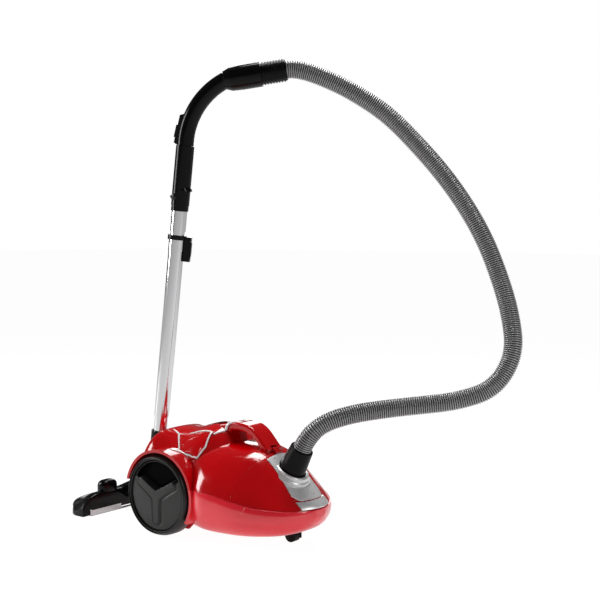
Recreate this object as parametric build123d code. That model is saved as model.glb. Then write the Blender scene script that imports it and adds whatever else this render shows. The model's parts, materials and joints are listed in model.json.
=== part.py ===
from build123d import *
from functools import lru_cache
import math
import os

# Canister vacuum cleaner with its wand parked upright at the back.
# Millimetres. +X is towards the nose, +Y the left side, +Z up, floor at z = 0.
# The origin is on the floor under the rear axle, the middle of the footprint.

os.makedirs("parts", exist_ok=True)

# ---- driving dimensions ----
WALL = 3.0                 # moulded shell thickness
GAP = 0.5                  # clearance between separate mouldings
LID_GAP = 0.3              # between the lid and the rear shell
WHEEL_R = 88.0             # rear wheel radius
WHEEL_IN = 110.0
TYRE_T = 7.0
AXLE_R = 5.0
RUN = 0.05                 # radial running clearance of shafts
WELL_R = 92.0              # wheel arch, inside radius
FENDER_R = 98.5            # wheel arch, outside radius
FENDER_OUT = 142.0
NOSE_X = 332.0
LID_X = 213.0              # front edge of the rear shell
LID_HINGE = (208.0, 192.0)
CASTER_X, CASTER_R, CASTER_TRAIL = 270.0, 14.0, 11.0
HOSE_D = 40.0
HOSE_WALL = 2.0
TUBE_R = 17.5              # outer wand tube
INNER_R = 15.75            # inner wand tube
TUBE_T = 0.8
WAND_FOOT_X = -156.5       # where the wand's axis meets the floor
WAND_LEAN = 7.4            # degrees towards the nose
GRIP_HEADING = 34.5        # the grip's plane, degrees from +X towards +Y
NECK_TOP = 198.0           # along the wand from here down is the nozzle's neck
OUTER_TOP = 650.0          # top of the outer tube along the wand
INNER_TOP = 709.0          # top of the visible inner tube along the wand
GRIP_R = 18.7              # bent grip tube
BEND_R = 170.0             # grip bend, centreline
BEND_START = 866.0
BEND_ANGLE = 57.0
HOOD_ANGLE = 75.0          # hood axis, degrees away from the wand's axis
INLET = (254.0, 0.0, 147.0)
INLET_LEAN = 29.0          # degrees from upright towards the nose
CUFF_LEN = 62.0
BAG_REAR = 118.0

# the hose's route from the hose end cuff at the grip to the inlet cuff
HOSE_UPPER = [(148.6, 119.2, 1013.1), (168.6, 132.7, 1016.8), (240, 181, 984), (298, 222, 943), (341, 246, 907),
              (392, 277, 846), (445, 297, 782), (493, 312, 713), (535, 322, 640), (552, 323.5, 600.5)]
HOSE_LOWER = [(552, 323.5, 600.5), (569, 325, 561), (600, 318, 483), (622, 300, 398), (591, 270, 324),
              (529, 221, 298), (470, 173, 290), (415, 125, 283), (364, 68, 274), (326, 24, 258),
              (299.6, 0, 229.2), (284.1, 0, 201.2)]

# hull stations: x, top, (deck y, z), (shoulder y, z), (widest y, z), (lower turn y, z), bottom
HULL = [
    (-98, 158, (44, 153), (68, 142), (78, 108), (66, 66), 60),
    (-92, 180, (54, 173), (84, 160), (98, 110), (84, 46), 36),
    (-72, 191, (60, 184), (93, 171), (104, 111), (92, 34), 23),
    (-20, 201, (62, 193), (95, 171), (106, 112), (96, 31), 19),
    (60, 204, (62, 195), (98, 170), (115, 108), (102, 29), 17),
    (104, 203, (62, 193), (107, 166), (140, 97), (118, 29), 16),
    (150, 201, (62, 190), (108, 161), (145, 92), (120, 29), 16),
    (200, 193, (58, 182), (101, 150), (141, 87), (115, 30), 17),
    (248, 160, (50, 151), (86, 125), (122, 83), (97, 32), 20),
    (290, 120, (38, 114), (66, 99), (90, 80), (71, 38), 27),
    (318, 98, (25, 95), (41, 88), (54, 77), (42, 52), 42),
    (NOSE_X, 85, (7, 84), (11, 81), (13, 76), (10, 69), 67),
]
# raised rear deck: x, top, (edge y, z), (foot y, z)
DECK = [
    (-90, 196, (52, 187), (96, 160)),
    (-30, 217, (50, 207), (104, 166)),
    (30, 228, (47, 216), (107, 165)),
    (80, 236, (43, 225), (100, 166)),
    (98, 230, (38, 219), (92, 163)),
    (122, 200, (32, 192), (74, 158)),
]
SEAM = [(-120, 112), (140, 112), (168, 108), (208, 101), (250, 92), (300, 84), (345, 81)]
PANEL = [(-22, 51), (79, 50), (86, 80), (78, 101), (34, 98), (21, 95)]
SCREWS = [(150, 100, 24), (150, -100, 24), (-62, 84, 30), (-62, -84, 30)]   # x, y, foot of the boss


def save(node, shape):
    """Write one sub-part."""
    solids = shape.solids() if hasattr(shape, "solids") else list(shape)
    body = solids[0] if len(solids) == 1 else Compound(children=list(solids))
    body.label = node
    export_step(body, f"parts/{node}.step")


# ---- general helpers ----
def rod(start, end, radius):
    """Solid cylinder from one point to another."""
    axis = Vector(*end) - Vector(*start)
    return Plane(start, z_dir=axis) * Cylinder(radius, axis.length, align=(Align.CENTER, Align.CENTER, Align.MIN))


def pipe(start, end, outer, inner):
    return rod(start, end, outer) - rod(start, end, inner)


def block(x, y, z):
    """Box from three (low, high) pairs."""
    box = Box(x[1] - x[0], y[1] - y[0], z[1] - z[0])
    return Pos((x[0] + x[1]) / 2, (y[0] + y[1]) / 2, (z[0] + z[1]) / 2) * box


def side_prism(points, half_width):
    """XZ outline pushed out along Y to both sides."""
    face = make_face(Polyline(*[(x, 0, z) for x, z in points], close=True))
    return extrude(face, half_width, dir=(0, 1, 0), both=True)


def plan_prism(points, low, high, grow=0.0):
    """XY outline, grown if asked, pushed up along Z."""
    face = make_face(Polyline(*[(x, y) for x, y in points], close=True))
    if grow:
        face = offset(face, grow, kind=Kind.INTERSECTION)
    return extrude(Pos(0, 0, low) * face, high - low, dir=(0, 0, 1))


def turned(profile, plane=Plane.XY):
    """Solid of revolution: (radius, height) outline about the plane's own Z."""
    face = make_face(Polyline(*[(r, 0, h) for r, h in profile], close=True))
    return plane.location * revolve(face, Axis.Z)


def both_sides(shape):
    return [shape, mirror(shape, Plane.XZ)]


# ---- frames of the wand, the inlet and the motor ----
MOTOR_PLANE = Plane((42, -30, 100), z_dir=(-1, 0, 0))
lean = math.radians(WAND_LEAN)
WAND_DIR = Vector(math.sin(lean), 0, math.cos(lean))
heading = Vector(math.cos(math.radians(GRIP_HEADING)), math.sin(math.radians(GRIP_HEADING)), 0)
GRIP_OUT = (heading - WAND_DIR * heading.dot(WAND_DIR)).normalized()
WAND = Plane((WAND_FOOT_X, 0, 0), x_dir=GRIP_OUT, z_dir=WAND_DIR)
INLET_DIR = Vector(math.sin(math.radians(INLET_LEAN)), 0, math.cos(math.radians(INLET_LEAN)))
INLET_PLANE = Plane(INLET, x_dir=(INLET_DIR.Z, 0, -INLET_DIR.X), z_dir=INLET_DIR)


def on_wand(shape):
    return WAND.location * shape


def wand_pipe(low, high, outer, inner):
    return on_wand(pipe((0, 0, low), (0, 0, high), outer, inner))


# ---- the hull ----
def hull_section(station, grow):
    x, top, deck, shoulder, wide, low, bottom = station
    half = [(deck[0] * 0.5, top - 0.25 * (top - deck[1])), deck, shoulder, wide, low,
            (low[0] * 0.55, bottom + 1.5)]
    centre = (top + bottom) / 2
    right = []
    for y, z in half:
        reach = math.hypot(y, z - centre)
        right.append((y * (1 + grow / reach), centre + (z - centre) * (1 + grow / reach)))
    points = [(x, 0, top + grow)] + [(x, y, z) for y, z in right] + [(x, 0, bottom - grow)]
    points += [(x, -y, z) for y, z in reversed(right)]
    return make_face(Spline(*points, periodic=True))


@lru_cache
def hull(grow=0.0):
    """The canister's outer form, grown or shrunk by an amount."""
    rows = [list(row) for row in HULL]
    rows[0][0] -= grow
    rows[-1][0] += grow
    return loft([hull_section(row, grow) for row in rows])


@lru_cache
def deck(grow=0.0):
    sections = []
    for x, top, edge, foot in DECK:
        x = x - grow if (x, top, edge, foot) == DECK[0] else x
        right = [(edge[0] * 0.5, top - 0.28 * (top - edge[1]) + grow), (edge[0], edge[1] + grow),
                 (foot[0] + grow, foot[1])]
        points = [(x, -y, z) for y, z in reversed(right)] + [(x, 0, top + grow)]
        points += [(x, y, z) for y, z in right]
        curve = Spline(*points)
        floor = Polyline(points[-1], (x, foot[0] - 12, 120), (x, 12 - foot[0], 120), points[0])
        sections.append(make_face(curve + floor))
    return loft(sections)


hull_out, hull_in = hull(0.0), hull(-WALL)
deck_out, deck_in = deck(0.0), deck(-WALL)
above_seam = side_prism(SEAM + [(345, 400), (-120, 400)], 200)
below_seam = side_prism([(x, z - GAP) for x, z in SEAM] + [(345, -50), (-120, -50)], 200)
lid_zone = side_prism([(LID_X, 400), (LID_X, 190), (199, 103)] + SEAM[4:] + [(345, 400)], 200)
rear_zone = side_prism([(LID_X - LID_GAP, 400), (LID_X - LID_GAP, 190), (199 - LID_GAP, 103), (190, 60),
                        (-120, 60), (-120, 400)], 200)


def wheel_wells():
    return both_sides(rod((0, WHEEL_IN - 4, WHEEL_R), (0, 200, WHEEL_R), WELL_R))


def fender(side):
    """Arch over a rear wheel, open at the bottom and the lower rear."""
    ring = pipe((0, side * 98, WHEEL_R), (0, side * FENDER_OUT, WHEEL_R), FENDER_R, WELL_R)
    below = side_prism([(-140, WHEEL_R), (0, WHEEL_R), (110, 20), (110, -20), (-140, -20)], 200)
    return ring - below


def rear_shell():
    outer = hull_out + deck_out
    shell = outer - hull_in - deck_in
    shell = (shell & rear_zone) & above_seam
    for well in wheel_wells():
        shell = shell - well
    for side in (-1, 1):
        shell = shell + (fender(side) & above_seam) - (hull_in & fender_inner(side))
        shell = shell - PANEL_HOLES[side]
    shell = shell - block((60, 96), (-19, 19), (205, 245))
    shell = shell - plan_ellipse(26.0, 17.0, 210, 240)
    return shell - EXHAUST_WINDOW - block((200, 216), (-9.6, 9.6), (180, 200))


def fender_inner(side):
    return pipe((0, side * 96, WHEEL_R), (0, side * 103, WHEEL_R), FENDER_R + 1, WELL_R - 1)


def plan_ellipse(along, across, low, high, centre=(46, 0)):
    face = Plane((centre[0], centre[1], low)) * Ellipse(along, across)
    return extrude(face, high - low, dir=(0, 0, 1))


def panel_prism(side, grow):
    return plan_prism([(x, side * y) for x, y in PANEL], 130, 260, grow)


PANEL_HOLES = {side: panel_prism(side, GAP) for side in (-1, 1)}
EXHAUST_WINDOW = block((-120, -60), (-46, 46), (134, 170))


def lower_shell():
    shell = (hull_out - hull_in) & below_seam
    for well in wheel_wells():
        shell = shell - well
    for side in (-1, 1):
        low_arch = fender(side) & below_seam & block((60, 120), (-150, 150), (20, 112))
        wall = rod((0, side * (WHEEL_IN - 4 - WALL), WHEEL_R), (0, side * (WHEEL_IN - 4), WHEEL_R), WELL_R)
        wall = wall & block((-100, 100), (-150, 150), (16, 130))
        wall = (wall + rod((0, side * 91, WHEEL_R), (0, side * 104, WHEEL_R), 11)) & below_seam
        shell = shell + low_arch + wall
        shell = shell - rod((0, side * 55, WHEEL_R), (0, side * 160, WHEEL_R), AXLE_R)
    top = CASTER_R * 2 + 5
    shell = shell - rod((CASTER_X, 0, 0), (CASTER_X, 0, top), 30)
    socket = rod((CASTER_X, 0, top), (CASTER_X, 0, top + WALL), 33) + rod((CASTER_X, 0, top), (CASTER_X, 0, 58), 9)
    post = rod((-24, 28, 96), (-24, 84, 96), 6) + block((-34, -14), (78, 84), (24, 96))
    shell = shell + post
    for x, y, foot in SCREWS:
        shell = shell + rod((x, y, foot), (x, y, 60), 6)
    skirt = pipe((CASTER_X, 0, 24), (CASTER_X, 0, top + WALL), 33, 30) & hull_out
    shell = shell + socket + skirt
    for x, y, foot in SCREWS:
        shell = shell - rod((x, y, 0), (x, y, 60.1), 2) - rod((x, y, 0), (x, y, foot + 6), 4.1)
    shell = shell - rod((CASTER_X, 0, 20), (CASTER_X, 0, 56), 4 + RUN)
    shell = shell - rod((-120, 60, 60), (-60, 60, 60), 9)
    return shell


def bumper_band():
    zone = side_prism([(224, 70), (236, 95.5 - GAP), (250, 91), (300, 83), (345, 80), (345, 52), (300, 55),
                       (262, 62)], 200)
    return (hull(2.2) - hull(0.02)) & zone


def lid():
    shell = (hull_out - hull_in) & lid_zone
    arm = block((206, 222), (-9, 9), (182, 196)) & side_prism(
        [(LID_HINGE[0] - 4, 188.5), (LID_HINGE[0] - 4, 196), (LID_HINGE[0] + 3, 196.5), (222, 187), (222, 182),
         (213, 184)], 9)
    shell = shell + arm
    shell = shell - rod((LID_HINGE[0], -30, LID_HINGE[1]), (LID_HINGE[0], 30, LID_HINGE[1]), 2 + RUN)
    shell = shell - INLET_PLANE.location * Cylinder(30.5, 90)
    keep = plan_prism([(286, -50), (345, -50), (345, 50), (286, 50)], 82.5, 102)
    return shell - (keep & hull_out - hull(-1.2))


COWL_PLAN = [(222, -40), (258, -41), (292, -46), (312, -34), (322, 0), (312, 34), (292, 46), (258, 41), (222, 40)]


def inlet_cowl():
    """Bright cowl round the inlet, with a raised collar."""
    collar = INLET_PLANE.location * Pos(0, 0, 2) * Cylinder(38, 14)
    body = (hull(2.6) & plan_prism(COWL_PLAN, 100.5, 200)) + collar
    return body - hull(0.02) - INLET_PLANE.location * Cylinder(30.5, 90)


def inlet_socket():
    tube = INLET_PLANE.location * (Pos(0, 0, -12) * (Cylinder(30.3, 46) - Cylinder(26.5 + RUN, 46)))
    return tube


def lid_latch():
    zone = plan_prism([(291, -46), (340, -46), (340, 46), (291, 46)], 84, 99) & side_prism(
        [(285, 84), (345, 84), (345, 98.5), (285, 98.5)], 46)
    return (hull(2.4) - hull(-0.8)) & zone


# ---- write the canister ----
def carry_handle():
    """Arched carrying handle with a finger gap under it."""
    top = Spline((74, 0, 235), (98, 0, 240), (121, 0, 243), (146, 0, 242), (164, 0, 236.5), (181, 0, 224.5),
                 (196, 0, 209), (212, 0, 193.5))
    foot = Polyline((212, 0, 193.5), (212, 0, 187), (190, 0, 192))
    gap = Spline((190, 0, 192), (180, 0, 205.5), (167, 0, 216), (150, 0, 223), (128, 0, 226), (108, 0, 224))
    rear = Polyline((108, 0, 224), (101, 0, 215), (99, 0, 200), (74, 0, 200), (74, 0, 235))
    body = extrude(make_face(top + foot + gap + rear), 26, dir=(0, 1, 0), both=True)
    body = fillet(body.edges().filter_by(lambda e: abs(e.center().Y) > 25.9 and e.center().Z > 212), 5)
    body = body - hull_out - deck_out - plan_ellipse(27.0, 18.0, 210, 250)
    body = body - block((198, 218), (-9.6, 9.6), (180, 199))
    return body - rod((LID_HINGE[0], -30, LID_HINGE[1]), (LID_HINGE[0], 30, LID_HINGE[1]), 2)


def lid_hinge_pin():
    return rod((LID_HINGE[0], -18, LID_HINGE[1]), (LID_HINGE[0], 18, LID_HINGE[1]), 2)


def button(side):
    """Large foot button, a patch of the deck on a short stem."""
    patch = (deck(2.4) - deck(-0.9)) & panel_prism(side, -GAP)
    patch = patch - hull(0.3)
    stem = rod((40, side * 74, 187), (40, side * (74 - 15), 187 - 15 * 1.276), 5)
    return max((patch + stem).solids(), key=lambda s: s.volume)


def panel_trims():
    """Bright frames around the two foot buttons."""
    frames = []
    for side in (-1, 1):
        ring = panel_prism(side, 3.4) - panel_prism(side, 0.1)
        frame = (deck(1.6) - deck(0.02)) & ring
        frames.append(max((frame - hull(0.1)).solids(), key=lambda s: s.volume))
    return frames


def bag_indicator():
    return (deck(0.8) - deck(-2.2)) & plan_ellipse(25.6, 16.6, 200, 250)


def exhaust_grille():
    """Louvred outlet in the rear face."""
    frame = (hull(0.6) - hull(-2.6)) & block((-120, -60), (-45.5, 45.5), (134.5, 169.5))
    for row in range(5):
        low = 138.5 + row * 6
        frame = frame - block((-120, -55), (-41, 41), (low, low + 3))
    return frame


def exhaust_filter():
    return block((-84, -72), (-44, 34), (118, 172)) & hull(-WALL - 0.5)


def parking_bracket():
    """Slotted bracket on the rear face that holds the wand's hook."""
    plate = block((-112, -96), (-26, 26), (66, 118))
    slot = block((-113, -104), (-9, 9), (74, 130)) + block((-106, -100), (-14, 14), (74, 130))
    return plate - slot - hull(0.02)


def bulkhead():
    """Wall between the dust bag and the motor, with its air window."""
    wall = block((104, 107), (-150, 150), (10, 220)) & hull(-WALL - 0.2)
    return wall - block((100, 110), (-50, 50), (60, 150))


def motor_filter():
    return block((107, 113), (-58, 58), (52, 158)) - block((110, 114), (-50, 50), (60, 150))


def dust_bag():
    return block((BAG_REAR, 194), (-88, 88), (36, 158)) + block((190, 232), (-80, 80), (36, 84))


def bag_holder():
    plane = INLET_PLANE
    plate = plane.location * (Pos(0, 0, -40) * Cylinder(40, 4))
    return plate - plane.location * Cylinder(24, 200)


def motor_casing():
    """Fan and motor housing, lying along X."""
    shell = turned([(52, -44), (52, 10), (40, 16), (40, 48), (14, 48), (14, 45), (37, 45), (37, 14), (49, 8),
                    (49, -41), (22, -41), (22, -44)], MOTOR_PLANE)
    return shell


def motor_rotor():
    """Armature, shaft and fan wheel."""
    return turned([(0, -38), (46, -38), (46, -22), (8, -20), (8, -4), (30, -4), (30, 34), (4, 34), (4, 52), (0, 52)],
                  MOTOR_PLANE)


def motor_mounts():
    front = MOTOR_PLANE.location * (Pos(0, 0, -30) * (Cylinder(57, 10) - Cylinder(52, 10)))
    rear = MOTOR_PLANE.location * (Pos(0, 0, 40) * (Cylinder(46, 8) - Cylinder(40, 8)))
    return [front, rear]


def cord_reel():
    """Flanged drum for the mains lead."""
    centre = Plane((-24, 36, 96), z_dir=(0, 1, 0))
    return turned([(6 + RUN, 0), (58, 0), (58, 3), (30, 3), (30, 35), (58, 35), (58, 38), (6 + RUN, 38)], centre)


def cord_outlet():
    """Grommet that the mains lead comes out of."""
    body = pipe((-112, 60, 60), (-86, 60, 60), 8.9, 5)
    return body + pipe((-112, 60, 60), (-107, 60, 60), 12, 5)


def power_switch():
    return block((32, 48), (-64, -50), (150, 160))


def button_springs():
    """Return springs between each button's stem and what it presses."""
    return [pipe((40, side * 58.8, 167.6), (40, side * 54.85, 162.5), 4, 3) for side in (-1, 1)]


def shell_screws():
    """Self-tapping screws that join the shells from below."""
    return [rod((x, y, foot + 3), (x, y, foot + 5.9), 4) + rod((x, y, foot + 5.9), (x, y, 58), 1.9)
            for x, y, foot in SCREWS]


# ---- wheels ----
def tyre(side):
    r = WHEEL_R
    profile = [(r - TYRE_T, 0), (r - 4, 0), (r, 4), (r, 32), (r - 2.5, 37.5), (r - TYRE_T, 40)]
    place = Plane((0, side * WHEEL_IN, WHEEL_R), z_dir=(0, side, 0))
    return turned(profile, place)


def wheel_hub(side):
    place = Plane((0, side * WHEEL_IN, WHEEL_R), z_dir=(0, side, 0))
    rim = WHEEL_R - TYRE_T
    return turned([(AXLE_R + RUN, 0), (12, 0), (12, 26), (60, 28), (rim - 4, 28), (rim - 4, 2), (rim, 2), (rim, 34),
                   (60, 31), (AXLE_R + RUN, 30)], place)


def hub_cap(side):
    """Domed cap with a raised three-armed spoke."""
    place = Plane((0, side * WHEEL_IN, WHEEL_R), z_dir=(0, side, 0))
    dome = turned([(0, 31.2), (60, 32.2), (76, 34.5), (76, 36), (62, 35), (30, 34.5), (0, 35)], place)
    for angle in (-90, 30, 150):
        arm = Rot(0, 0, angle) * (Pos(29, 0, 36) * Box(58, 16, 4))
        dome = dome + place.location * (arm + Pos(0, 0, 36) * Cylinder(13, 4))
    return dome


def wheel_axles():
    return [rod((0, side * 91, WHEEL_R), (0, side * 139, WHEEL_R), AXLE_R) for side in (-1, 1)]


def caster_fork():
    """Swivelling fork with its stem."""
    x = CASTER_X - CASTER_TRAIL
    stem = rod((CASTER_X, 0, 28), (CASTER_X, 0, 55), 4)
    top = rod((CASTER_X, 0, 29), (CASTER_X, 0, 32.4), 13)
    cheeks = block((x - 6, CASTER_X + 4), (-12, -9.3), (8, 32)) + block((x - 6, CASTER_X + 4), (9.3, 12), (8, 32))
    body = stem + top + block((x - 6, CASTER_X + 4), (-12, 12), (29, 32)) + cheeks
    pin = rod((x, -12, CASTER_R), (x, 12, CASTER_R), 2)
    return body + pin


def caster_wheel():
    x = CASTER_X - CASTER_TRAIL
    return pipe((x, -9, CASTER_R), (x, 9, CASTER_R), CASTER_R, 2 + RUN)


# ---- wand ----
def outer_tube():
    plain = wand_pipe(236, OUTER_TOP, TUBE_R, TUBE_R - TUBE_T)
    swell = wand_pipe(OUTER_TOP - 32, OUTER_TOP, TUBE_R + 0.7, TUBE_R - 0.1)
    neck = wand_pipe(160, 237, TUBE_R - 1.6, TUBE_R - 1.6 - TUBE_T)
    step = wand_pipe(233, 239, TUBE_R, TUBE_R - 1.6 - TUBE_T)
    return plain + swell + neck + step


def latch_collar():
    """Collar at the outer tube's mouth, with the latch housing on its side."""
    ring = wand_pipe(OUTER_TOP - 6, OUTER_TOP + 4, 21.5, TUBE_R + 0.72)
    bush = wand_pipe(OUTER_TOP + 0.1, OUTER_TOP + 4, 21.5, INNER_R + 0.3)
    box = on_wand(block((TUBE_R, 33), (-8.5, 8.5), (596, OUTER_TOP + 2)))
    box = box - on_wand(block((25, 40), (-6.3, 6.3), (601, 640)) + rod((0, 0, 590), (0, 0, 700), TUBE_R + 0.72))
    return ring + bush + box


def tube_latch():
    return on_wand(block((25.3, 34.5), (-6, 6), (608, 639.5)))


def inner_tube():
    lower = wand_pipe(330, 664, INNER_R, INNER_R - TUBE_T)
    mouth = wand_pipe(663, INNER_TOP + 12, TUBE_R, INNER_R - TUBE_T)
    hole = on_wand(rod((-10, 0, 693), (-30, 0, 693), 3.2))
    bore = on_wand(rod((0, 0, 668), (0, 0, 740), TUBE_R - TUBE_T))
    return lower + mouth - bore - hole


def handle_sleeve():
    """Straight lower part of the grip, plugged into the inner tube."""
    plug = wand_pipe(672, 726, TUBE_R - TUBE_T - 0.05, 14)
    cuff = wand_pipe(INNER_TOP, 723, 19.6, TUBE_R + 0.05)
    tube = wand_pipe(INNER_TOP + 12.3, 855, 20.5, 14)
    hole = on_wand(rod((-10, 0, 693), (-30, 0, 693), 3.1))
    return plug + cuff + tube - hole


def snap_pin():
    return on_wand(rod((-14.6, 0, 693), (-18.3, 0, 693), 3.0))


def accessory_clip():
    """Slanted ring that carries the small tools."""
    tilt = Plane((0, 0, 748), z_dir=(-0.62, 0, 1))
    band = tilt.location * Cylinder(25.5, 13)
    band = band & rod((0, 0, 700), (0, 0, 800), 24.5)
    return on_wand(band - rod((0, 0, 700), (0, 0, 800), 20.55))


def grip_tube():
    """Bent hand grip, hollow, with the suction slider's rail on its back."""
    end = (BEND_R * (1 - math.cos(math.radians(BEND_ANGLE))), 0,
           BEND_START + BEND_R * math.sin(math.radians(BEND_ANGLE)))
    arc = ThreePointArc((0, 0, BEND_START),
                        (BEND_R * (1 - math.cos(math.radians(BEND_ANGLE / 2))), 0,
                         BEND_START + BEND_R * math.sin(math.radians(BEND_ANGLE / 2))), end)
    path = Line((0, 0, 855.3), (0, 0, BEND_START)) + arc
    outer = sweep(Plane((0, 0, 855.3)) * Circle(GRIP_R), path=path)
    inner = sweep(Plane((0, 0, 855.3)) * Circle(GRIP_R - 3.5), path=path)
    rail = side_prism([(-8, 856), (-18, 856), (-25.5, 860), (-17, 922), (-4, 927)], 8.5)
    rail = rail - slider_plane().location * block((-1, 2.5), (-3, 3), (8, 54))
    return on_wand(outer + rail - inner)


def bend_end():
    a = math.radians(BEND_ANGLE)
    return Vector(BEND_R * (1 - math.cos(a)), 0, BEND_START + BEND_R * math.sin(a))


def hood_plane():
    """Start of the hood, its Z along the hood towards the hose."""
    a = math.radians(HOOD_ANGLE)
    return Plane(bend_end() - Vector(math.sin(a), 0, math.cos(a)) * 4, z_dir=(math.sin(a), 0, math.cos(a)),
                 x_dir=(-math.cos(a), 0, math.sin(a)))


def handle_hood():
    """Housing between the grip and the hose's swivel."""
    profile = [(15.2, 0), (20, 0), (26, 16), (27.5, 40), (27.5, 84), (24.7, 84), (24.7, 44), (21, 22), (15.2, 6)]
    body = turned(profile, hood_plane())
    end = bend_end()
    cut = Plane(end, z_dir=(math.sin(math.radians(BEND_ANGLE)), 0, math.cos(math.radians(BEND_ANGLE))))
    return on_wand(body - cut.location * (Pos(0, 0, -30) * Cylinder(GRIP_R + 0.02, 60)))


def slider_plane():
    """Outer face of the slider's rail, its Z along the rail."""
    return Plane((-25.5, 0, 860), z_dir=(0.1358, 0, 0.9907), x_dir=(0.9907, 0, -0.1358))


def suction_slider():
    return on_wand(slider_plane().location * block((-3.3, -0.3), (-6.5, 6.5), (12, 40)))


def hose_end_cuff():
    """Ribbed cuff that turns in the hood."""
    place = hood_plane()
    body = pipe((0, 0, 52), (0, 0, 84), 24.6, 19) + pipe((0, 0, 84.4), (0, 0, 140), 23, 19)
    body = body + pipe((0, 0, 83.8), (0, 0, 84.6), 24.6, 19)
    for rib in range(8):
        low = 88 + rib * 6.4
        body = body + pipe((0, 0, low), (0, 0, low + 3), 25, 19)
    return on_wand(place.location * body)


def inlet_cuff():
    """Tapered cuff on the hose's canister end, turning in the inlet."""
    profile = [(22, -34), (26.5, -34), (26.5, 11), (28.5, 12), (27.5, 30), (25, CUFF_LEN), (20.2, CUFF_LEN),
               (20.2, CUFF_LEN - 14), (22, CUFF_LEN - 16)]
    return turned(profile, INLET_PLANE)


# ---- hose ----
def hose(points, name):
    """Plain tube along straight runs joined by tangent arcs."""
    runs = [Vector(*b) - Vector(*a) for a, b in zip(points, points[1:])]
    radii = []
    for before, after in zip(runs, runs[1:]):
        half_turn = math.radians(before.get_angle(after) / 2)
        radii.append(0.45 * min(before.length, after.length) / math.tan(half_turn))
    path = FilletPolyline(*points, radius=radii)
    start = Plane(points[0], z_dir=runs[0])
    print(name, "length", round(path.length, 1))
    return sweep(start * Circle(HOSE_D / 2), path=path) - sweep(start * Circle(HOSE_D / 2 - HOSE_WALL), path=path)


# ---- nozzle ----
NECK_PIVOT = (-262.0, 0.0, 33.0)
ELBOW_S = 86.0             # along the wand, where the neck turns into the socket
NOZZLE_BACK, NOZZLE_FRONT = -240.0, -NOSE_X - 2.2
PEDAL_X, PEDAL_Z = -255.0, 46.0


def nozzle_plan(half_width, inset=0.0):
    """Plan outline: straight back, bowed front."""
    back = NOZZLE_BACK - inset
    front = NOZZLE_FRONT + inset
    w = half_width - inset
    line = Polyline((-268, -w), (back, -w), (back, w), (-268, w))
    bow = Spline((-268, w), (-302, w * 0.72), (front, 0), (-302, -w * 0.72), (-268, -w))
    return make_face(line + bow)


def nozzle_wedge(height, inset=0.0):
    """Side outline: tall at the back, thin at the front."""
    back, top, front = NOZZLE_BACK - inset, height - inset, NOZZLE_FRONT + inset
    return side_prism([(back, 15), (back, top - 4), (back - 4, top), (-258, top), (-276, top - 10),
                       (-304, 29 - inset), (front, 20 - inset), (front, 15)], 150)


def nozzle_form(half_width, height, inset=0.0):
    """Nozzle body, its top falling away towards both ends."""
    body = extrude(nozzle_plan(half_width, inset), 60, dir=(0, 0, 1)) & nozzle_wedge(height, inset)
    middle = block((-400, -200), (-88, 88), (0, 60))
    for side in (-1, 1):
        end = Plane((-400, side * 88, 0), x_dir=(0, 1, 0), z_dir=(1, 0, 0)) * Ellipse(58 - inset, 51.5 - inset)
        middle = middle + extrude(end, 200, dir=(1, 0, 0))
    return body & middle


def neck_slot(grow=0.0):
    return block((-290, -230), (-21 - grow, 21 + grow), (12, 70))


def nozzle_shell():
    outer = nozzle_form(119, 50)
    inner = nozzle_form(119, 50, 3)
    shell = outer - inner - neck_slot()
    for y in (-1, 1):
        boss = block((-271, -253), tuple(sorted((y * 21, y * 28))), (20, 48))
        shell = shell + boss
    shell = shell - rod((NECK_PIVOT[0], -28, NECK_PIVOT[2]), (NECK_PIVOT[0], 28, NECK_PIVOT[2]), 4 + RUN)
    return shell - PEDAL_SLOT


PEDAL_SLOT = block((-271, -239), (-76, -28), (40, 60))


def nozzle_end_caps():
    """Rounded end pieces of the nozzle."""
    caps = []
    whole = nozzle_form(142, 50)
    for side in (-1, 1):
        cap = whole & block((-400, -200), tuple(sorted((side * 119.3, side * 145))), (0, 60))
        caps.append(cap + (block((-300, -245), tuple(sorted((side * 119.3, side * 138))), (3, 15.4))
                    & extrude(nozzle_plan(138), 60, dir=(0, 0, 1))))
    return caps


def sole_plate():
    """Polished steel sole with its suction mouth, notched at the back for the tilting neck."""
    plate = extrude(nozzle_plan(118.9), 13.6, dir=(0, 0, 1)) & block((-400, -200), (-119, 119), (1.2, 14.8))
    inner = extrude(nozzle_plan(118.9, 1.2), 20, dir=(0, 0, 1)) & block((-400, -200), (-119, 119), (2.4, 16))
    mouth = block((-296, -270), (-92, 92), (0, 5))
    slots = block((-260, -248), (-103, 103), (0, 5)) + block((-314, -301), (-58, 58), (0, 5))
    notch = block((-243, -236), (-23, 23), (2.4, 16))
    return plate - inner - mouth - slots - notch


def brush_strips():
    """Bristle strips in their holders, which the pedal lowers."""
    return [block((x - 3, x + 3), (-half, half), (3.6, 12)) for x, half in ((-254, 100), (-307.5, 55))]


def lip_strips():
    """Soft lips along the sole's edges."""
    rear = block((-246, -241), (-116, 116), (0, 1.2))
    front = block((-326, -322), (-30, 30), (0, 1.2))
    return [rear, front]


def pedal():
    body = block((-270, -240.5), (-75, -29), (41, 52)) + block((-266, -242), (-73, -31), (52, 70))
    body = body - block((-300, -200), (-90, -20), (40, 44)) & nozzle_pedal_round()
    return body - rod((PEDAL_X, -80, PEDAL_Z), (PEDAL_X, -20, PEDAL_Z), 2 + RUN)


def nozzle_pedal_round():
    return Pos(-255, -52, 50) * (Rot(90, 0, 0) * Cylinder(21, 60))


def nozzle_pins():
    """The pedal's pivot and the two stub pins of the neck."""
    neck = [rod((NECK_PIVOT[0], low, NECK_PIVOT[2]), (NECK_PIVOT[0], low + 12, NECK_PIVOT[2]), 4)
            for low in (-28, 16)]
    return neck + [rod((PEDAL_X, -78, PEDAL_Z), (PEDAL_X, -26, PEDAL_Z), 2)]


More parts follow.
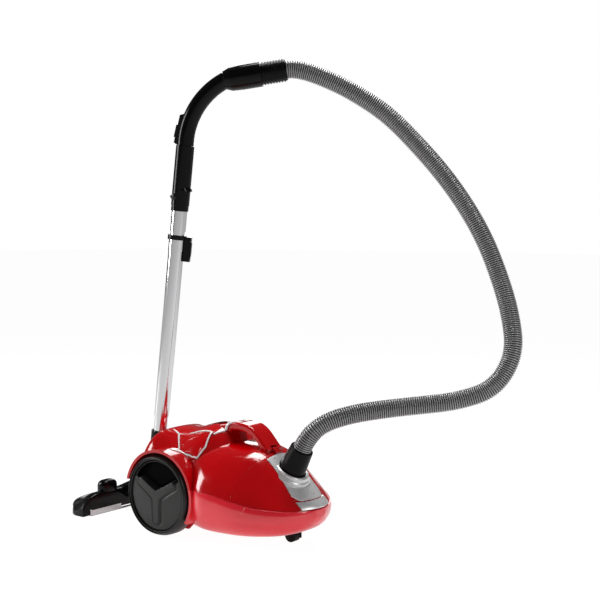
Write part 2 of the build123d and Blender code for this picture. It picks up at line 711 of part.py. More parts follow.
def neck_elbow_point():
    p = Vector(WAND_FOOT_X, 0, 0) + WAND_DIR * ELBOW_S
    return (p.X, 0, p.Z)


def neck_joint():
    """Lower neck: barrel in the nozzle and the tube up to the swivel."""
    elbow = Vector(*neck_elbow_point())
    pivot = Vector(*NECK_PIVOT)
    along = (elbow - pivot).normalized()
    mid = pivot + along * 62
    barrel = rod((NECK_PIVOT[0], -20.6, NECK_PIVOT[2]), (NECK_PIVOT[0], 20.6, NECK_PIVOT[2]), 17)
    tube = rod(tuple(pivot), tuple(mid), 17.5)
    hollow = rod(tuple(pivot - along * 4), tuple(mid), 14.5)
    body = barrel + tube - hollow
    return body - rod((NECK_PIVOT[0], -28, NECK_PIVOT[2]), (NECK_PIVOT[0], 28, NECK_PIVOT[2]), 4)


def neck_socket():
    """Upper neck: swivel end, elbow and the socket for the tube."""
    elbow = Vector(*neck_elbow_point())
    pivot = Vector(*NECK_PIVOT)
    along = (elbow - pivot).normalized()
    start = pivot + along * 62.4
    lower = rod(tuple(start), tuple(elbow), 19.5)
    upper = on_wand(rod((0, 0, ELBOW_S), (0, 0, NECK_TOP), 20.5))
    ball = Pos(*elbow) * Sphere(20.3)
    hollow = rod(tuple(start), tuple(elbow), 14.5) + on_wand(rod((0, 0, ELBOW_S), (0, 0, NECK_TOP), 14.8))
    hollow = hollow + Pos(*elbow) * Sphere(14.6) + on_wand(rod((0, 0, 160), (0, 0, NECK_TOP + 1), 15.9))
    hook = block((-132, -101.2), (-5, 5), (80, 110)) + block((-105.2, -101.2), (-12, 12), (80, 110))
    body = lower + upper + ball + hook
    return body - hollow


def main():
    save("rear_shell", rear_shell())
    save("lower_shell", lower_shell())
    save("bumper_band", bumper_band())
    save("lid", lid())
    save("inlet_cowl", inlet_cowl())
    save("inlet_socket", inlet_socket())
    save("lid_latch", lid_latch())
    save("carry_handle", carry_handle())
    save("lid_hinge_pin", lid_hinge_pin())
    save("power_button", button(-1))
    save("rewind_button", button(1))
    save("panel_trims", ShapeList(panel_trims()))
    save("bag_full_indicator", bag_indicator())
    save("exhaust_grille", exhaust_grille())
    save("exhaust_filter", exhaust_filter())
    save("parking_bracket", parking_bracket())
    save("bulkhead", bulkhead())
    save("motor_filter", motor_filter())
    save("dust_bag", dust_bag())
    save("bag_holder", bag_holder())
    save("motor_casing", motor_casing())
    save("motor_rotor", motor_rotor())
    save("motor_mounts", ShapeList(motor_mounts()))
    save("cord_reel", cord_reel())
    save("cord_outlet", cord_outlet())
    save("power_switch", power_switch())
    save("button_springs", ShapeList(button_springs()))
    save("shell_screws", ShapeList(shell_screws()))
    for name, side in (("right", -1), ("left", 1)):
        save(f"tyre_{name}", tyre(side))
        save(f"wheel_hub_{name}", wheel_hub(side))
        save(f"hub_cap_{name}", hub_cap(side))
    save("wheel_axles", ShapeList(wheel_axles()))
    save("caster_fork", caster_fork())
    save("caster_wheel", caster_wheel())
    save("outer_tube", outer_tube())
    save("latch_collar", latch_collar())
    save("tube_latch", tube_latch())
    save("inner_tube", inner_tube())
    save("handle_sleeve", handle_sleeve())
    save("snap_pin", snap_pin())
    save("accessory_clip", accessory_clip())
    save("grip_tube", grip_tube())
    save("handle_hood", handle_hood())
    save("suction_slider", suction_slider())
    save("hose_end_cuff", hose_end_cuff())
    save("inlet_cuff", inlet_cuff())
    save("hose_upper", hose(HOSE_UPPER, "upper hose"))
    save("hose_lower", hose(HOSE_LOWER, "lower hose"))
    save("nozzle_shell", nozzle_shell())
    save("nozzle_end_caps", ShapeList(nozzle_end_caps()))
    save("sole_plate", sole_plate())
    save("brush_strips", ShapeList(brush_strips()))
    save("lip_strips", ShapeList(lip_strips()))
    save("pedal", pedal())
    save("nozzle_pins", ShapeList(nozzle_pins()))
    save("neck_joint", neck_joint())
    save("neck_socket", neck_socket())


main()
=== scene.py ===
"""Looks of a red canister vacuum cleaner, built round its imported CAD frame.

Metres, +X towards the nose, +Y the left side, +Z up, floor at z = 0.
"""
import json
import math

import bmesh
import bpy
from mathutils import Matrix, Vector
from mathutils.bvhtree import BVHTree


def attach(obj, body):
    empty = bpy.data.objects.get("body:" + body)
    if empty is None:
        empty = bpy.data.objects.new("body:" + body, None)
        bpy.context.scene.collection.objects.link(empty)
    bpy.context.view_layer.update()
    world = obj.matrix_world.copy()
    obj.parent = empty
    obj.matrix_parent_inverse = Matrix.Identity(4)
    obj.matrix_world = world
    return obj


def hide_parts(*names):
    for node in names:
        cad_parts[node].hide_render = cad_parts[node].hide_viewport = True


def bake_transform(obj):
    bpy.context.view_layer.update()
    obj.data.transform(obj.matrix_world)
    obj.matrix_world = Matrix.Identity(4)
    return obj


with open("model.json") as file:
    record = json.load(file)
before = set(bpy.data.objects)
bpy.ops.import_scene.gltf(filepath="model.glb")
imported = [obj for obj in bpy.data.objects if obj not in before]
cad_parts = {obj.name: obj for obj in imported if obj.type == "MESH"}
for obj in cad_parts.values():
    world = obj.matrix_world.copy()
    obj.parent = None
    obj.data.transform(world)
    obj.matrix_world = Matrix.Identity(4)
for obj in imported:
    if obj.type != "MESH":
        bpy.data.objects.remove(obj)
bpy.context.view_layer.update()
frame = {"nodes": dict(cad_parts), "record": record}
scene = bpy.context.scene
MM = 0.001                          # lengths below are in millimetres unless they say metres

# ---- dimensions shared with the CAD part, in millimetres ----
WHEEL_R = 88.0                      # rear wheel radius, also the height of its axle
WHEEL_IN = 110.0                    # inner face of a rear wheel, from the middle
HUB_R = 76.4                        # hub cap
INLET, INLET_LEAN = (254.0, 0.0, 147.0), 29.0
HOSE_D, HOSE_PITCH = 40.0, 4.7      # hose over its ridges, and from ridge to ridge
HOSE_MIDDLE = (552, 323.5, 600.5)   # where the two lengths of the hose meet
HOSE_UPPER = [(148.6, 119.2, 1013.1), (168.6, 132.7, 1016.8), (240, 181, 984), (298, 222, 943),
              (341, 246, 907), (392, 277, 846), (445, 297, 782), (493, 312, 713), (535, 322, 640),
              HOSE_MIDDLE]
HOSE_LOWER = [HOSE_MIDDLE, (569, 325, 561), (600, 318, 483), (622, 300, 398), (591, 270, 324),
              (529, 221, 298), (470, 173, 290), (415, 125, 283), (364, 68, 274), (326, 24, 258),
              (299.6, 0, 229.2), (284.1, 0, 201.2)]
NOZZLE_BACK, NOZZLE_FRONT = -240.0, -334.2
NOZZLE_HALF, NOZZLE_TOP = 142.0, 50.0


# ---- materials ----
GRAIN_DEPTH = 0.0004                # metres


def make_material(name, color, rough, metallic=0.0, coat=0.0, coat_rough=0.03, grain=0.0,
                  grain_scale=400.0, vary=0.06, vary_scale=14.0, rough_vary=0.05, edge=0.0, sheen=0.0,
                  stretch=None, specular=0.5):
    """Procedural surface: colour drift, roughness smudges, moulding grain and rounded edges (mm)."""
    material = bpy.data.materials.new(name)
    material.use_nodes = True
    nodes, links = material.node_tree.nodes, material.node_tree.links
    shader = nodes["Principled BSDF"]
    shader.inputs["Metallic"].default_value = metallic
    shader.inputs["Specular IOR Level"].default_value = specular
    shader.inputs["Coat Weight"].default_value = coat
    shader.inputs["Coat Roughness"].default_value = coat_rough
    shader.inputs["Sheen Weight"].default_value = sheen
    place = nodes.new("ShaderNodeTexCoord")
    vector = place.outputs["Object"]
    if stretch:
        mapping = nodes.new("ShaderNodeMapping")
        mapping.inputs["Scale"].default_value = stretch
        links.new(vector, mapping.inputs["Vector"])
        vector = mapping.outputs["Vector"]
    drift = nodes.new("ShaderNodeTexNoise")
    drift.inputs["Scale"].default_value = vary_scale
    drift.inputs["Detail"].default_value = 4
    links.new(vector, drift.inputs["Vector"])
    ramp = nodes.new("ShaderNodeValToRGB")
    low, high = ramp.color_ramp.elements
    low.position, high.position = 0.3, 0.7
    low.color = [c * (1 - vary) for c in color] + [1]
    high.color = [min(1, c * (1 + vary)) for c in color] + [1]
    links.new(drift.outputs["Fac"], ramp.inputs["Fac"])
    links.new(ramp.outputs["Color"], shader.inputs["Base Color"])
    smudge = nodes.new("ShaderNodeTexNoise")
    smudge.inputs["Scale"].default_value = vary_scale * 4
    smudge.inputs["Detail"].default_value = 6
    links.new(vector, smudge.inputs["Vector"])
    spread = nodes.new("ShaderNodeMapRange")
    spread.inputs["From Min"].default_value, spread.inputs["From Max"].default_value = 0.3, 0.7
    spread.inputs["To Min"].default_value = max(0.02, rough - rough_vary)
    spread.inputs["To Max"].default_value = rough + rough_vary
    links.new(smudge.outputs["Fac"], spread.inputs["Value"])
    links.new(spread.outputs["Result"], shader.inputs["Roughness"])
    normal = None
    if edge:
        bevel = nodes.new("ShaderNodeBevel")
        bevel.samples = 4
        bevel.inputs["Radius"].default_value = edge * MM
        normal = bevel.outputs["Normal"]
    if grain:
        texture = nodes.new("ShaderNodeTexNoise")
        texture.inputs["Scale"].default_value = grain_scale
        texture.inputs["Detail"].default_value = 3
        links.new(vector, texture.inputs["Vector"])
        bump = nodes.new("ShaderNodeBump")
        bump.inputs["Strength"].default_value = grain
        bump.inputs["Distance"].default_value = GRAIN_DEPTH
        links.new(texture.outputs["Fac"], bump.inputs["Height"])
        if normal:
            links.new(normal, bump.inputs["Normal"])
        normal = bump.outputs["Normal"]
    if normal:
        links.new(normal, shader.inputs["Normal"])
    return material


MATERIALS = {
    "red_shell": dict(color=(0.62, 0.0004, 0.003), rough=0.14, coat=0.35, coat_rough=0.02, grain=0.02,
                      grain_scale=160, vary=0.05, edge=1.2, specular=0.4),
    "red_band": dict(color=(0.97, 0.022, 0.04), rough=0.18, coat=0.6, coat_rough=0.03, grain=0.02,
                     grain_scale=160, vary=0.05, edge=1.0),
    "silver_trim": dict(color=(0.82, 0.815, 0.815), rough=0.30, metallic=0.4, coat=0.3, coat_rough=0.15,
                        grain=0.08, grain_scale=1400, vary=0.04, edge=1.2),
    "bright_trim": dict(color=(0.95, 0.94, 0.94), rough=0.35, metallic=0.1, coat=0.5, vary=0.03,
                        grain=0.03, edge=0.4),
    "black_gloss": dict(color=(0.003, 0.003, 0.003), rough=0.20, coat=0.12, coat_rough=0.06, grain=0.04,
                        grain_scale=500, vary=0.15, edge=1.0, specular=0.1),
    "black_satin": dict(color=(0.005, 0.005, 0.005), rough=0.36, grain=0.12, grain_scale=900, vary=0.15,
                        edge=0.7, specular=0.12),
    "hub_grey": dict(color=(0.022, 0.021, 0.020), rough=0.38, grain=0.12, grain_scale=900, vary=0.10,
                     edge=1.2, specular=0.38),
    # pitch black with almost no specular: painted shade for the deep sector between the hub's upper arms
    "hub_pit_painted_shade": dict(color=(0.001, 0.001, 0.001), rough=0.5, grain=0.05, vary=0.1, specular=0.02),
    "tyre": dict(color=(0.006, 0.006, 0.006), rough=0.36, grain=0.1, grain_scale=700, vary=0.2, edge=1.2),
    "chrome_tube": dict(color=(0.72, 0.72, 0.73), rough=0.13, metallic=1.0, vary=0.03, rough_vary=0.04,
                        grain=0.02, grain_scale=900, stretch=(1, 1, 0.05), edge=0.3),
    "steel": dict(color=(0.55, 0.55, 0.56), rough=0.26, metallic=1.0, grain=0.06, grain_scale=700,
                  stretch=(1, 0.08, 1), edge=0.3),
    "hose_grey": dict(color=(0.34, 0.34, 0.342), rough=0.30, metallic=0.4, grain=0.04, vary=0.06),
    # near-black for the hose's valley faces: painted shade for the deep valleys between the ridges
    "hose_valley_painted_shade": dict(color=(0.02, 0.02, 0.021), rough=0.5, grain=0.05, vary=0.1),
    "lens_dark": dict(color=(0.22, 0.0, 0.004), rough=0.12, coat=1.0, grain=0.02, vary=0.1, edge=0.5),
    "inner_plastic": dict(color=(0.13, 0.13, 0.14), rough=0.5, grain=0.1, edge=0.6),
    "filter_felt": dict(color=(0.70, 0.69, 0.64), rough=0.9, grain=0.7, grain_scale=600, sheen=0.3),
    "bag_paper": dict(color=(0.55, 0.44, 0.31), rough=0.85, grain=0.5, grain_scale=250, vary=0.12),
    "bag_card": dict(color=(0.50, 0.45, 0.37), rough=0.8, grain=0.3, grain_scale=500),
    "motor_metal": dict(color=(0.50, 0.51, 0.52), rough=0.35, metallic=1.0, grain=0.15, edge=0.5),
    "mount_rubber": dict(color=(0.02, 0.02, 0.02), rough=0.7, grain=0.2, edge=0.4),
    "bristle": dict(color=(0.03, 0.03, 0.03), rough=0.6, grain=0.8, grain_scale=1500,
                    stretch=(1, 1, 0.05)),
}
M = {name: make_material(name, **look) for name, look in MATERIALS.items()}
slot_of = {part["node"]: part["material_slot"] for part in frame["record"]["subparts"]}
for node, obj in frame["nodes"].items():
    obj.data.materials.clear()
    obj.data.materials.append(M[slot_of[node]])


# ---- mesh helpers ----
def finished(obj, body):
    """Gives a piece the body it moves with."""
    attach(obj, body)
    return obj


def mesh_object(name, verts, faces, slot):
    """Smooth-shaded object from points in metres and faces."""
    mesh = bpy.data.meshes.new(name)
    mesh.from_pydata([tuple(v) for v in verts], [], faces)
    obj = bpy.data.objects.new(name, mesh)
    scene.collection.objects.link(obj)
    bm = bmesh.new()
    bm.from_mesh(mesh)
    bmesh.ops.recalc_face_normals(bm, faces=bm.faces)
    bm.to_mesh(mesh)
    bm.free()
    mesh.materials.append(M[slot])
    mesh.shade_smooth()
    return obj


def grid_faces(rows, columns, closed=True):
    """Quads of a grid of rows, each row a ring when closed."""
    last = columns if closed else columns - 1
    return [(r * columns + c, r * columns + (c + 1) % columns, (r + 1) * columns + (c + 1) % columns,
             (r + 1) * columns + c) for r in range(rows - 1) for c in range(last)]


def turned(name, profile, origin, axis, slot, segments=96):
    """Turned piece: closed (radius, height) outline in mm about the axis through origin in mm."""
    axis = Vector(axis).normalized()
    side = axis.orthogonal().normalized()
    other = axis.cross(side)
    profile = profile + profile[:1]
    verts = []
    for radius, height in profile:
        for i in range(segments):
            a = 2 * math.pi * i / segments
            p = Vector(origin) + axis * height + (side * math.cos(a) + other * math.sin(a)) * radius
            verts.append(p * MM)
    return mesh_object(name, verts, grid_faces(len(profile), segments), slot)


def mark_sharp(obj, degrees):
    """Keeps a smooth mesh's real creases crisp."""
    bm = bmesh.new()
    bm.from_mesh(obj.data)
    for e in bm.edges:
        if len(e.link_faces) == 2 and e.calc_face_angle(0) > math.radians(degrees):
            e.smooth = False
    bm.to_mesh(obj.data)
    bm.free()


def route_points(name, points, steps):
    """Points of the smooth NURBS line through a route, in metres."""
    curve = bpy.data.curves.new(name, "CURVE")
    curve.dimensions = "3D"
    spline = curve.splines.new("NURBS")
    spline.points.add(len(points) - 1)
    for target, p in zip(spline.points, points):
        target.co = (p[0] * MM, p[1] * MM, p[2] * MM, 1)
    spline.order_u = 3
    spline.use_endpoint_u = True
    spline.resolution_u = steps
    carrier = bpy.data.objects.new(name, curve)
    line = bpy.data.meshes.new_from_object(carrier)
    found = [v.co.copy() for v in line.vertices]
    bpy.data.objects.remove(carrier)
    bpy.data.curves.remove(curve)
    bpy.data.meshes.remove(line)
    return found


def walk(points, step):
    """The same line in even steps, with a frame that doesn't twist, and its length."""
    gaps = [(b - a).length for a, b in zip(points, points[1:])]
    total = sum(gaps)
    count = max(2, round(total / step))
    out, index, done = [], 0, 0.0
    for k in range(count + 1):
        want = total * k / count
        while index < len(gaps) - 1 and done + gaps[index] < want:
            done += gaps[index]
            index += 1
        out.append(points[index].lerp(points[index + 1], (want - done) / gaps[index]))
    side = (out[1] - out[0]).orthogonal().normalized()
    frames = []
    for k, p in enumerate(out):
        along = (out[min(k + 1, count)] - out[max(k - 1, 0)]).normalized()
        side = (side - along * side.dot(along)).normalized()
        frames.append((p, side, along.cross(side)))
    return frames, total


RIDGE_STEPS = 10                    # steps along the hose for each ridge
RIDGE = [(0.0, -3.0), (0.18, -1.2), (0.3, -0.2), (0.5, 0.0), (0.7, -0.2), (0.82, -1.2)]


def corrugated(name, points, slot):
    """Corrugated hose: rounded silver ridges with deep narrow valleys whose faces carry near-black painted
    shade, its middle line and length.
    """
    line = route_points(name + "_line", points, 24)
    length = sum((b - a).length for a, b in zip(line, line[1:]))
    ridges = round(length / (HOSE_PITCH * MM))
    frames, total = walk(line, length / (ridges * RIDGE_STEPS))
    segments = 40
    verts = []
    rings = 0
    for k in range(ridges):
        for share, dip in RIDGE + ([(1.0, -3.0)] if k == ridges - 1 else []):
            p, side, other = frames[min(round((k + share) * RIDGE_STEPS), len(frames) - 1)]
            radius = (HOSE_D / 2 + dip) * MM
            for i in range(segments):
                a = 2 * math.pi * i / segments
                verts.append(p + (side * math.cos(a) + other * math.sin(a)) * radius)
            rings += 1
    obj = mesh_object(name, verts, grid_faces(rings, segments), slot)
    # second slot: near-black painted shade on the valley faces of the corrugations
    obj.data.materials.append(M["hose_valley_painted_shade"])
    for face in obj.data.polygons:
        if (face.index // segments) % len(RIDGE) in (0, len(RIDGE) - 1):
            face.material_index = 1
    return obj, [tuple(f[0]) for f in frames[::4]] + [tuple(frames[-1][0])], total


# ---- hose ----
hose_upper, upper_path, upper_length = corrugated("hose_upper_ribs", HOSE_UPPER, "hose_grey")
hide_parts("hose_upper")
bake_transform(hose_upper)
hose_lower, lower_path, lower_length = corrugated("hose_lower_ribs", HOSE_LOWER, "hose_grey")
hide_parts("hose_lower")
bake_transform(hose_lower)


# ---- pieces laid on the CAD surface ----
def surface_of(*names):
    """Search tree over the outer surfaces of some CAD nodes."""
    verts, faces = [], []
    for name in names:
        mesh = frame["nodes"][name].data
        faces += [[len(verts) + i for i in face.vertices] for face in mesh.polygons]
        verts += [v.co.copy() for v in mesh.vertices]
    return BVHTree.FromPolygons(verts, faces)


DROP, NEAR = 60.0, 2.6              # how far above a strip starts to fall, and how far round it feels


def laid_on(tree, points, step=3.0):
    """Points in mm joined by straight runs and dropped on the surface, with its smoothed normals."""
    found = []
    for a, b in zip(points, points[1:]):
        a, b = Vector(a), Vector(b)
        count = max(1, round((b - a).length / step))
        for k in range(count):
            found.append(a.lerp(b, k / count))
    found.append(Vector(points[-1]))
    out = []
    for p in found:
        down = -Vector((0.0, math.copysign(0.55, p.y), 0.835))
        best = None
        for dx, dy in ((0, 0), (NEAR, 0), (-NEAR, 0), (0, NEAR), (0, -NEAR)):
            start = (p + Vector((dx, dy, 0)) - down * DROP) * MM
            spot, normal, _, reach = tree.ray_cast(start, down)
            if spot and (best is None or reach < best[0]):
                best = (reach, normal)
        out.append(((p - down * DROP) * MM + down * best[0], best[1]))
    for _ in range(2):
        out = [(spot, (out[max(i - 1, 0)][1] + normal * 2 + out[min(i + 1, len(out) - 1)][1]).normalized())
               for i, (spot, normal) in enumerate(out)]
    return out


def strip(name, tree, points, widths, height, slot):
    """Raised strip with a crowned top along a path on the surface. Widths run from start to end."""
    path = laid_on(tree, points)
    verts, count = [], len(path)
    profile = [(-1.0, -1.2), (-1.0, 0.45), (-0.72, 0.9), (0.0, 1.0), (0.72, 0.9), (1.0, 0.45),
               (1.0, -1.2)]
    for i, (spot, normal) in enumerate(path):
        along = (path[min(i + 1, count - 1)][0] - path[max(i - 1, 0)][0]).normalized()
        side = along.cross(normal).normalized()
        share = i / (count - 1)
        half = (widths[0] * (1 - share) + widths[1] * share) / 2 * MM
        for across, up in profile:
            verts.append(spot + side * (across * half) + normal * (up * height * MM))
    rings = len(profile)
    faces = grid_faces(count, rings)
    faces += [tuple(range(rings)), tuple((count - 1) * rings + k for k in range(rings))]
    return mesh_object(name, verts, faces, slot)


def join(name, pieces):
    """One object from several."""
    bm = bmesh.new()
    for piece in pieces:
        bm.from_mesh(piece.data)
    joined = pieces[0]
    joined.name = name
    bm.to_mesh(joined.data)
    bm.free()
    for piece in pieces[1:]:
        bpy.data.objects.remove(piece)
    return joined


def deck_trims():
    """Bright frames of the foot buttons, their stubs and the lines that climb the handle."""
    tree = surface_of("rear_shell", "carry_handle", "power_button", "rewind_button")
    parts = []
    for side in (-1, 1):
        ring = [(-22, 51, 207), (79, 50, 216), (86, 80, 190), (78, 101, 170), (34, 98, 172),
                (21, 95, 175), (-22, 51, 207)]
        rear = [(-22, 51, 207), (-34, 46, 209), (-47, 40, 210)]
        stub = [(36, 99, 171), (24, 102, 169), (12, 104, 167)]
        climb = [(84, 52, 214), (92, 42, 226), (99, 31, 236), (108, 20, 241.5), (118, 12, 243),
                 (128, 10, 243)]
        lines = ((ring, (3.4, 3.4)), (rear, (3.2, 2.0)), (stub, (3.2, 2.4)), (climb, (4.0, 9.0)))
        for k, (line, widths) in enumerate(lines):
            line = [(x, side * y, z) for x, y, z in line]
            parts.append(strip(f"trim_{side}_{k}", tree, line, widths, 1.1, "bright_trim"))
    trims = join("deck_trims", parts)
    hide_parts("panel_trims")
    finished(trims, "canister")


deck_trims()


ABOVE = 300.0                       # a height over the whole canister


def foot_button(side):
    """Faceted foot button: an upper face like the deck and a steeper lower one."""
    node = "power_button" if side < 0 else "rewind_button"
    tree = surface_of(node)
    rim = [(-17, 53.5), (76.5, 52.5), (83.5, 80), (76.5, 98.2), (35, 95.2), (24, 92.5)]
    fold = [(8, 79), (79.5, 88)]

    def top(x, y, lift):
        spot = tree.ray_cast(Vector((x, side * y, ABOVE)) * MM, Vector((0, 0, -1)))[0]
        return spot + Vector((0, 0, lift * MM))
    bm = bmesh.new()
    upper = [bm.verts.new(top(x, y, 0.4)) for x, y in rim]
    crease = [bm.verts.new(top(x, y, 2.4)) for x, y in fold]
    inner = [bm.verts.new(top(x, y, 1.2)) for x, y in ((20, 66), (72, 68))]
    foot = [bm.verts.new(v.co - Vector((0, side * 0.0012, 0.004))) for v in upper]
    facets = [(upper[0], inner[0], crease[0]), (upper[0], upper[1], inner[1], inner[0]),
              (inner[0], inner[1], crease[1], crease[0]), (upper[1], upper[2], crease[1], inner[1]),
              (crease[1], upper[2], upper[3]), (crease[0], crease[1], upper[3], upper[4]),
              (crease[0], upper[4], upper[5]), (upper[0], crease[0], upper[5])]
    for facet in facets:
        bm.faces.new(facet)
    for k in range(6):
        bm.faces.new((upper[k], foot[k], foot[(k + 1) % 6], upper[(k + 1) % 6]))
    bm.faces.new(foot)
    bmesh.ops.recalc_face_normals(bm, faces=bm.faces)
    mesh = bpy.data.meshes.new(node + "_facets")
    bm.to_mesh(mesh)
    bm.free()
    cap = bpy.data.objects.new(node + "_facets", mesh)
    scene.collection.objects.link(cap)
    mesh.materials.append(M["red_shell"])
    bevel = cap.modifiers.new("edges", "BEVEL")
    bevel.width, bevel.segments, bevel.limit_method = 0.0009, 3, "NONE"
    finished(cap, node)


for button_side in (-1, 1):
    foot_button(button_side)


# ---- inlet collar ----
def inlet_collar():
    """Rolled collar of the cowl round the inlet cuff."""
    tilt = math.radians(INLET_LEAN)
    profile = [(30.0, -2), (30.0, 7.5), (31.0, 9.6), (33.2, 10.6), (35.6, 10.2), (37.4, 8.6),
               (38.4, 6.2), (39.6, 3.6), (42.0, 1.0), (45.5, -1.4), (45.0, -4.0), (36.0, -4.0)]
    collar = turned("inlet_collar", profile, INLET, (math.sin(tilt), 0, math.cos(tilt)), "silver_trim")
    finished(collar, "lid")


inlet_collar()


# ---- floor nozzle ----
# how far forward of the back, in mm of the middle section, and how high, as a share of the top
NOZZLE_CROWN = [(0, 0.0), (0, 0.5), (0, 0.80), (0.8, 0.90), (2.6, 0.965), (6, 0.995), (12, 1.0),
                (20, 0.985), (29, 0.93), (40, 0.80), (52, 0.66), (64, 0.55), (76, 0.47), (86, 0.41),
                (91, 0.35), (93.5, 0.27), (94.2, 0.15), (94.2, 0.0)]
NOZZLE_DEEP = NOZZLE_BACK - NOZZLE_FRONT
NOZZLE_END = -262.0                 # where the bowed front meets the ends
CROWN_FLAT, CROWN_FALL = 88.0, 58.5  # half width of the level top, and how far out it falls to nothing


def nozzle_section(y, low):
    """Rounded side outline of the nozzle at y, from the back's foot over the top to the front's foot."""
    share = abs(y) / NOZZLE_HALF
    front = NOZZLE_END + (NOZZLE_FRONT - NOZZLE_END) * max(0.0, 1 - share ** 2.6) ** 0.62
    fall = math.sqrt(max(0.0, 1 - (max(0.0, abs(y) - CROWN_FLAT) / CROWN_FALL) ** 2))
    depth = NOZZLE_BACK - front
    out = []
    for along, up in NOZZLE_CROWN:
        z = low + (NOZZLE_TOP * fall - low) * up
        out.append((NOZZLE_BACK - along / NOZZLE_DEEP * depth, max(z, low + 0.02 * up)))
    return out


def nozzle_piece(name, node, slot, start, end, low, count):
    """Length of the nozzle's body between two sides, over one height."""
    verts = []
    for k in range(count):
        y = start + (end - start) * k / (count - 1)
        verts += [Vector((x, y, z)) * MM for x, z in nozzle_section(y, low)]
    columns = len(NOZZLE_CROWN)
    faces = grid_faces(count, columns)
    faces += [tuple(range(columns)), tuple((count - 1) * columns + k for k in range(columns))]
    piece = mesh_object(name, verts, faces, slot)
    mark_sharp(piece, 45)
    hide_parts(node)
    finished(piece, "nozzle")


nozzle_piece("nozzle_cover", "nozzle_shell", "black_gloss", -119.0, 119.0, 15.0, 61)
nozzle_piece("nozzle_cap_right", "nozzle_end_caps", "black_satin", -141.6, -119.6, 3.0, 14)
nozzle_piece("nozzle_cap_left", "nozzle_end_caps", "black_satin", 119.6, 141.6, 3.0, 14)


def rounded_block(name, low, high, power, slot, body):
    """Pillow-edged block between two corners, in mm."""
    rows, columns = 25, 48
    centre = [(a + b) / 2 for a, b in zip(low, high)]
    half = [(b - a) / 2 for a, b in zip(low, high)]

    def bulge(value):
        return math.copysign(abs(value) ** (2 / power), value)
    verts = []
    for r in range(rows):
        v = -math.pi / 2 + math.pi * r / (rows - 1)
        for c in range(columns):
            u = 2 * math.pi * c / columns
            verts.append(Vector((centre[0] + half[0] * bulge(math.cos(v)) * bulge(math.cos(u)),
                                 centre[1] + half[1] * bulge(math.cos(v)) * bulge(math.sin(u)),
                                 centre[2] + half[2] * bulge(math.sin(v)))) * MM)
    piece = mesh_object(name, verts, grid_faces(rows, columns), slot)
    bm = bmesh.new()
    bm.from_mesh(piece.data)
    bmesh.ops.remove_doubles(bm, verts=bm.verts, dist=1e-6)
    bm.to_mesh(piece.data)
    bm.free()
    piece.data.shade_smooth()
    return finished(piece, body)


pedal_rocker = rounded_block("pedal_rocker", (-271, -76, 38), (-240.6, -28, 74), 3.2, "black_gloss",
                             "pedal")
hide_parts("pedal")


# ---- rear wheels ----
TYRE = [(81, 0), (84.5, 0.3), (87.2, 2.2), (88, 5), (88, 22), (87.6, 26), (86.2, 31), (84.2, 36), (82.8, 38.4),
        (81.6, 39), (81, 38.2)]
RIM = [(5.05, 0), (12, 0), (12, 15), (72, 15), (76, 2), (80.9, 2), (80.9, 35.5), (79.8, 36.8),
       (78.2, 36.6), (77.2, 34.6), (76.8, 19), (5.05, 19)]
ARMS = [math.radians(angle) for angle in (30, 150, 270)]


def smooth_step(t):
    """0 to 1 with a soft start and end."""
    t = min(1.0, max(0.0, t))
    return t * t * (3 - 2 * t)


def arm_distance(x, z):
    """Distance to the nearest arm's middle line, each rounded at its tip and fuller at the centre."""
    found = []
    for angle in ARMS:
        along = x * math.cos(angle) + z * math.sin(angle)
        across = -x * math.sin(angle) + z * math.cos(angle)
        past = max(0.0, along - 54, -along)
        found.append(math.hypot(past, across) - 3.5 * math.exp(-max(along, 0) / 16))
    return min(found)


def between_upper_arms(x, z):
    """Whether a point of the hub lies in the sector over its two upper arms."""
    return 30 < math.degrees(math.atan2(z, x)) % 360 < 150


def hub_height(x, z):
    """Face of the wheel: a shallow dome, three soft arms and a deep sector between the upper two."""
    r = math.hypot(x, z)
    arm = arm_distance(x, z)
    band = smooth_step((11.0 - arm) / 4.5)
    height = 33.4 + 2.4 * (1 - (r / 77) ** 2) + 2.6 * band
    height -= 1.5 * math.exp(-((arm - 11.5) / 1.7) ** 2) * (1 - smooth_step((r - 60) / 10))
    if between_upper_arms(x, z):
        height -= 11.0 * (1 - band) * smooth_step((73.5 - r) / 4.5)
    return height - 2.2 * smooth_step((r - 73.5) / 3.2)


def hub_cap(hand, side, body):
    """Face of a wheel, with its deep sector painted pitch black as painted shade."""
    rings, segments = 56, 180
    middle = hub_height(0.001, 0.001)
    verts = [Vector((0, side * (WHEEL_IN + middle), WHEEL_R)) * MM]
    for k in range(1, rings + 2):
        r = HUB_R * min(k, rings) / rings
        for i in range(segments):
            a = 2 * math.pi * i / segments
            x, z = r * math.cos(a), r * math.sin(a)
            height = hub_height(x, z) if k <= rings else 20
            verts.append(Vector((x, side * (WHEEL_IN + height), WHEEL_R + z)) * MM)
    faces = [(0, 1 + i, 1 + (i + 1) % segments) for i in range(segments)]
    faces += [tuple(1 + v for v in f) for f in grid_faces(rings + 1, segments)]
    cap = mesh_object(f"hub_cap_{hand}_moulding", verts, faces, "hub_grey")
    cap.data.materials.append(M["hub_pit_painted_shade"])
    # faces deep in the sector between the upper arms get the pitch-black painted shade
    for face in cap.data.polygons:
        x, z = face.center.x / MM, face.center.z / MM - WHEEL_R
        if between_upper_arms(x, z) and arm_distance(x, z) > 10.4 and math.hypot(x, z) < 72:
            face.material_index = 1
    mark_sharp(cap, 50)
    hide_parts(f"hub_cap_{hand}")
    finished(cap, body)


def wheel(side):
    """Tyre, rim and hub cap of one rear wheel."""
    hand = "left" if side > 0 else "right"
    body = f"wheel_{hand}"
    centre = (0, side * WHEEL_IN, WHEEL_R)
    for name, profile, slot in (("tyre", TYRE, "tyre"), ("wheel_hub", RIM, "hub_grey")):
        piece = turned(f"{name}_{hand}_moulding", profile, centre, (0, side, 0), slot)
        mark_sharp(piece, 40)
        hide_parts(f"{name}_{hand}")
        finished(piece, body)
    hub_cap(hand, side, body)


for wheel_side in (-1, 1):
    wheel(wheel_side)


# ---- studio ----
FLOOR = 30.0                        # half the floor's width, in metres


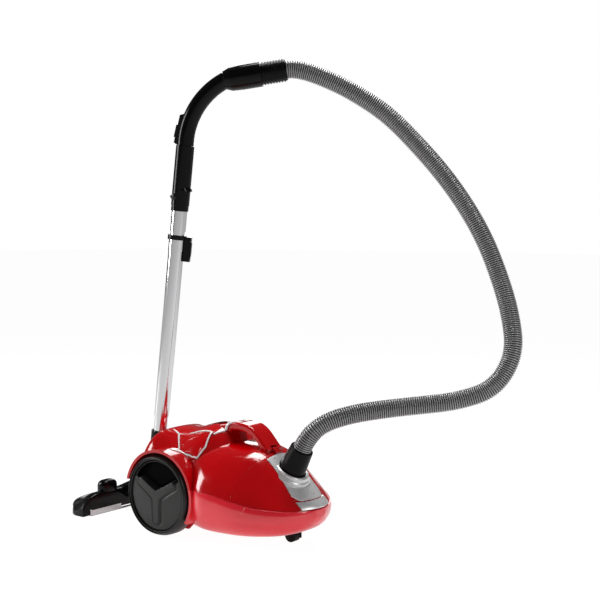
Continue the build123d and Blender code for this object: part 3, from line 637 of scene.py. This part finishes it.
def area_light(name, place, target, size, power, height):
    """Soft box of size by height metres, aimed at the target."""
    light = bpy.data.lights.new(name, "AREA")
    light.energy = power
    light.shape = "RECTANGLE"
    light.size = size
    light.size_y = height
    obj = bpy.data.objects.new(name, light)
    obj.location = place
    obj.rotation_euler = (Vector(target) - Vector(place)).to_track_quat("-Z", "Y").to_euler()
    scene.collection.objects.link(obj)


def studio():
    """White surround that hardly lights the part, a white floor and four soft boxes."""
    world = bpy.data.worlds.new("studio")
    world.use_nodes = True
    tree = world.node_tree
    tree.nodes.clear()
    out = tree.nodes.new("ShaderNodeOutputWorld")
    path = tree.nodes.new("ShaderNodeLightPath")
    mix = tree.nodes.new("ShaderNodeMixShader")
    tree.links.new(path.outputs["Is Camera Ray"], mix.inputs["Fac"])
    for socket, strength in ((1, 0.07), (2, 1.0)):
        shade = tree.nodes.new("ShaderNodeBackground")
        shade.inputs["Color"].default_value = (1, 1, 1, 1)
        shade.inputs["Strength"].default_value = strength
        tree.links.new(shade.outputs["Background"], mix.inputs[socket])
    tree.links.new(mix.outputs["Shader"], out.inputs["Surface"])
    scene.world = world
    scene.view_settings.view_transform = "Standard"
    scene.view_settings.look = "None"

    mesh = bpy.data.meshes.new("floor")
    mesh.from_pydata([(-FLOOR, -FLOOR, 0), (FLOOR, -FLOOR, 0), (FLOOR, FLOOR, 0), (-FLOOR, FLOOR, 0)],
                     [], [(0, 1, 2, 3)])
    floor = bpy.data.objects.new("floor", mesh)
    scene.collection.objects.link(floor)
    mesh.materials.append(floor_paint())
    area_light("overhead", (-0.1, 0.7, 2.3), (0.0, 0, 0), 0.9, 38, 0.9)
    area_light("key", (-2.7, -1.7, 1.4), (0.1, 0, 0.3), 0.9, 62, 1.8)
    area_light("side", (2.8, 0.3, 1.6), (0.2, 0, 0.4), 0.6, 18, 1.6)
    area_light("back", (-1.6, 2.2, 1.7), (0.0, 0, 0.4), 0.8, 18, 1.5)


def floor_paint():
    """White floor that stays white to its far edge, with a soft contact shadow."""
    material = make_material("floor_paint", (0.93, 0.93, 0.93), 0.4, vary=0.004, rough_vary=0.01)
    nodes, links = material.node_tree.nodes, material.node_tree.links
    glow = nodes.new("ShaderNodeEmission")
    glow.inputs["Strength"].default_value = 1.13
    path = nodes.new("ShaderNodeLightPath")
    share = nodes.new("ShaderNodeMath")
    share.operation = "MULTIPLY_ADD"
    share.inputs[1].default_value = 0.44
    share.inputs[2].default_value = 0.42
    links.new(path.outputs["Is Camera Ray"], share.inputs[0])
    mix = nodes.new("ShaderNodeMixShader")
    links.new(share.outputs["Value"], mix.inputs["Fac"])
    links.new(nodes["Principled BSDF"].outputs["BSDF"], mix.inputs[1])
    links.new(glow.outputs["Emission"], mix.inputs[2])
    links.new(mix.outputs["Shader"], nodes["Material Output"].inputs["Surface"])
    return material


studio()

camera_data = bpy.data.cameras.new("camera")
camera_data.sensor_width = 36
camera_data.lens = 68.65
camera_data.clip_end = 100
camera = bpy.data.objects.new("camera", camera_data)
camera.location = (1.7363, -1.8832, 0.6562)
aim = Vector((0.2787, 0, 0.5138))
camera.rotation_euler = (aim - camera.location).to_track_quat("-Z", "Y").to_euler()
scene.collection.objects.link(camera)
scene.camera = camera
